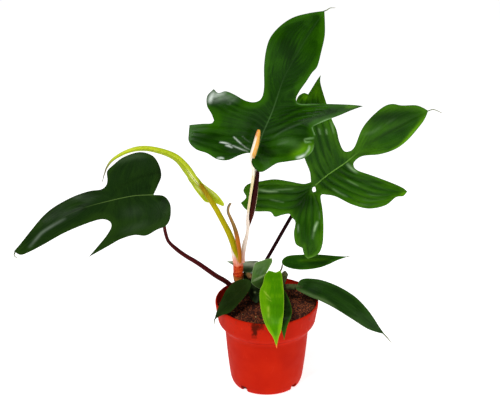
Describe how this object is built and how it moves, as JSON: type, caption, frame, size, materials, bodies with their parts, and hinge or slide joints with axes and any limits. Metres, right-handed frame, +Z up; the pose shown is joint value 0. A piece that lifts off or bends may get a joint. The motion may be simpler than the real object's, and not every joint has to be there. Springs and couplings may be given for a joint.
{
  "type": "potted florida beauty philodendron",
  "caption": "Young philodendron with deeply lobed glossy leaves on thin red stems, rooted in soil in a round red nursery pot that stands on its flat foot.",
  "frame": {"origin": "centre of the pot's underside, where the plant in its pot stands", "axes": "+Z up out of the pot; +X to the right across the widest spread of the leaves; +Y away from the side that faces the viewer"},
  "size_m": [0.4675, 0.1393, 0.4418],
  "materials": {
    "red_plastic": "satin",
    "soil_mix": "matte",
    "dark_leaf": "satin",
    "green_leaf": "satin",
    "bright_leaf": "satin",
    "new_leaf": "satin",
    "maroon_stem": "satin",
    "red_stem": "satin",
    "woody_stem": "matte",
    "pale_sheath": "satin",
    "brown_sheath": "matte",
    "olive_stem": "satin"
  },
  "bodies": {
    "root": {"pot": "red_plastic", "potting_soil": "soil_mix", "main_stem": "red_stem", "side_stem": "woody_stem", "petiole_top": "maroon_stem", "petiole_right": "maroon_stem", "petiole_left": "maroon_stem", "petiole_new": "olive_stem", "sheath_tall": "pale_sheath", "sheath_curled": "brown_sheath", "petiole_rim": "woody_stem", "petiole_bright": "woody_stem", "petiole_shaded": "woody_stem", "petiole_upturned": "woody_stem", "petiole_hidden": "woody_stem", "petiole_level": "woody_stem", "petiole_long": "woody_stem", "blade_top": "green_leaf", "blade_right": "green_leaf", "blade_left": "dark_leaf", "blade_new": "new_leaf", "blade_rim": "dark_leaf", "blade_bright": "bright_leaf", "blade_shaded": "dark_leaf", "blade_upturned": "green_leaf", "blade_hidden": "dark_leaf", "blade_level": "green_leaf", "blade_long": "dark_leaf"}
  },
  "joints": []
}
